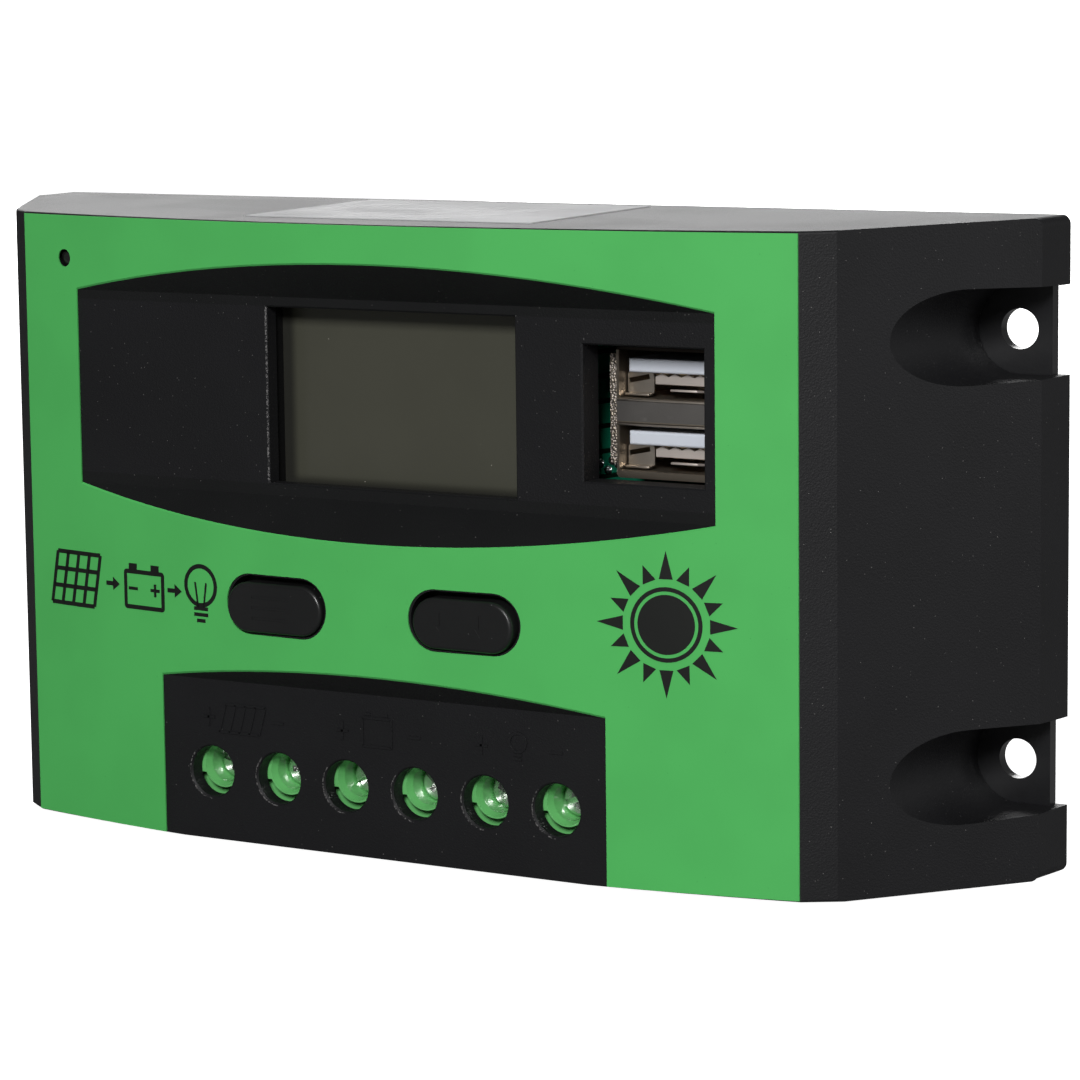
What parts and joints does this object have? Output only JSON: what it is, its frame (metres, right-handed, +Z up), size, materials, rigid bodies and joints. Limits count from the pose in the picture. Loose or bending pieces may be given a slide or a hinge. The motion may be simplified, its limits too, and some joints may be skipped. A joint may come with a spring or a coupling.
{
  "type": "solar charge controller",
  "caption": "Flat wall-mounted solar charge controller with a bowed front, display window, stacked USB sockets, push buttons and screw terminals.",
  "frame": {"origin": "centre of the four wall-mounting holes, in the back plane", "axes": "+X to the right seen from the front, +Y into the wall, +Z up"},
  "size_m": [0.148, 0.0386, 0.0781],
  "materials": {
    "black_shell": "fine spark texture, moulded",
    "black_plate": "smooth semi-gloss black coating",
    "green_overlay": "printed vinyl, satin",
    "silver_label": "silver polyester film",
    "gloss_button": "polished moulding",
    "dark_plastic": "plain moulding",
    "bright_metal": "nickel plated",
    "display_glass": "grey-green display cell, unlit",
    "white_plastic": "plain moulding",
    "gold_contact": "gold flash",
    "light_lens": "smoked dome",
    "board_laminate": "green solder mask",
    "steel_screw": "nickel plated, machined",
    "bare_aluminium": "sawn bar",
    "chip_plastic": "moulded epoxy",
    "grey_pad": "silicone sheet",
    "terminal_green": "smooth moulding",
    "tinned_brass": "tin plated",
    "can_sleeve": "shrink sleeve",
    "ferrite": "sintered",
    "copper_wire": "enamelled",
    "ceramic_parts": "glazed ceramic"
  },
  "bodies": {
    "case": {"front_shell": "black_shell", "back_plate": "black_plate", "face_overlay": "green_overlay", "top_label": "silver_label", "switch_bodies": "dark_plastic", "switch_covers": "bright_metal", "lcd_glass": "display_glass", "lcd_backlight": "white_plastic", "lcd_frame": "dark_plastic", "lcd_pins": "bright_metal", "usb_shell": "bright_metal", "usb_tongues": "white_plastic", "usb_contacts": "gold_contact", "status_light": "light_lens", "main_board": "board_laminate", "board_screws": "steel_screw", "case_screws": "steel_screw", "clamp_bar": "bare_aluminium", "clamp_bar_screws": "steel_screw", "mosfets": "chip_plastic", "thermal_pad": "grey_pad", "terminal_housing": "terminal_green", "terminal_contacts": "tinned_brass", "filter_capacitors": "can_sleeve", "inductor_core": "ferrite", "inductor_winding": "copper_wire", "controller_chip": "chip_plastic", "controller_legs": "bright_metal", "power_chips": "chip_plastic", "diodes": "chip_plastic", "current_shunt": "tinned_brass", "small_parts": "ceramic_parts", "temperature_sensor": "chip_plastic"},
    "menu_button": {"menu_button": "gloss_button", "menu_switch_plunger": "dark_plastic"},
    "select_button": {"select_button": "gloss_button", "select_switch_plunger": "dark_plastic"},
    "terminal_screw_1": {"terminal_screw_1": "steel_screw"},
    "clamp_cage_1": {"clamp_cage_1": "tinned_brass"},
    "terminal_screw_2": {"terminal_screw_2": "steel_screw"},
    "clamp_cage_2": {"clamp_cage_2": "tinned_brass"},
    "terminal_screw_3": {"terminal_screw_3": "steel_screw"},
    "clamp_cage_3": {"clamp_cage_3": "tinned_brass"},
    "terminal_screw_4": {"terminal_screw_4": "steel_screw"},
    "clamp_cage_4": {"clamp_cage_4": "tinned_brass"},
    "terminal_screw_5": {"terminal_screw_5": "steel_screw"},
    "clamp_cage_5": {"clamp_cage_5": "tinned_brass"},
    "terminal_screw_6": {"terminal_screw_6": "steel_screw"},
    "clamp_cage_6": {"clamp_cage_6": "tinned_brass"}
  },
  "joints": [
    {"name": "menu_button_press", "type": "slide", "parent": "case", "child": "menu_button", "axis": [0, 1, 0], "range_m": [0, 0.0005], "stiffness_N_per_m": 3000, "springref_m": -0.0002},
    {"name": "select_button_press", "type": "slide", "parent": "case", "child": "select_button", "axis": [0, 1, 0], "range_m": [0, 0.0005], "stiffness_N_per_m": 3000, "springref_m": -0.0002},
    {"name": "screw_1_turn", "type": "hinge", "parent": "case", "child": "terminal_screw_1", "pos_m": [-0.0248, -0.03135, -0.0294], "axis": [0, 1, 0], "range_deg": [0, 1985]},
    {"name": "cage_1_rise", "type": "slide", "parent": "case", "child": "clamp_cage_1", "axis": [0, -1, 0], "range_m": [0, 0.0033]},
    {"name": "screw_2_turn", "type": "hinge", "parent": "case", "child": "terminal_screw_2", "pos_m": [-0.0148, -0.03135, -0.0294], "axis": [0, 1, 0], "range_deg": [0, 1985]},
    {"name": "cage_2_rise", "type": "slide", "parent": "case", "child": "clamp_cage_2", "axis": [0, -1, 0], "range_m": [0, 0.0033]},
    {"name": "screw_3_turn", "type": "hinge", "parent": "case", "child": "terminal_screw_3", "pos_m": [-0.0048, -0.03135, -0.0294], "axis": [0, 1, 0], "range_deg": [0, 1985]},
    {"name": "cage_3_rise", "type": "slide", "parent": "case", "child": "clamp_cage_3", "axis": [0, -1, 0], "range_m": [0, 0.0033]},
    {"name": "screw_4_turn", "type": "hinge", "parent": "case", "child": "terminal_screw_4", "pos_m": [0.0052, -0.03135, -0.0294], "axis": [0, 1, 0], "range_deg": [0, 1985]},
    {"name": "cage_4_rise", "type": "slide", "parent": "case", "child": "clamp_cage_4", "axis": [0, -1, 0], "range_m": [0, 0.0033]},
    {"name": "screw_5_turn", "type": "hinge", "parent": "case", "child": "terminal_screw_5", "pos_m": [0.0152, -0.03135, -0.0294], "axis": [0, 1, 0], "range_deg": [0, 1985]},
    {"name": "cage_5_rise", "type": "slide", "parent": "case", "child": "clamp_cage_5", "axis": [0, -1, 0], "range_m": [0, 0.0033]},
    {"name": "screw_6_turn", "type": "hinge", "parent": "case", "child": "terminal_screw_6", "pos_m": [0.0252, -0.03135, -0.0294], "axis": [0, 1, 0], "range_deg": [0, 1985]},
    {"name": "cage_6_rise", "type": "slide", "parent": "case", "child": "clamp_cage_6", "axis": [0, -1, 0], "range_m": [0, 0.0033]}
  ],
  "couplings": [
    {"joint": "screw_1_turn", "follows": "cage_1_rise", "rad_per_m": 10472},
    {"joint": "screw_2_turn", "follows": "cage_2_rise", "rad_per_m": 10472},
    {"joint": "screw_3_turn", "follows": "cage_3_rise", "rad_per_m": 10472},
    {"joint": "screw_4_turn", "follows": "cage_4_rise", "rad_per_m": 10472},
    {"joint": "screw_5_turn", "follows": "cage_5_rise", "rad_per_m": 10472},
    {"joint": "screw_6_turn", "follows": "cage_6_rise", "rad_per_m": 10472}
  ]
}
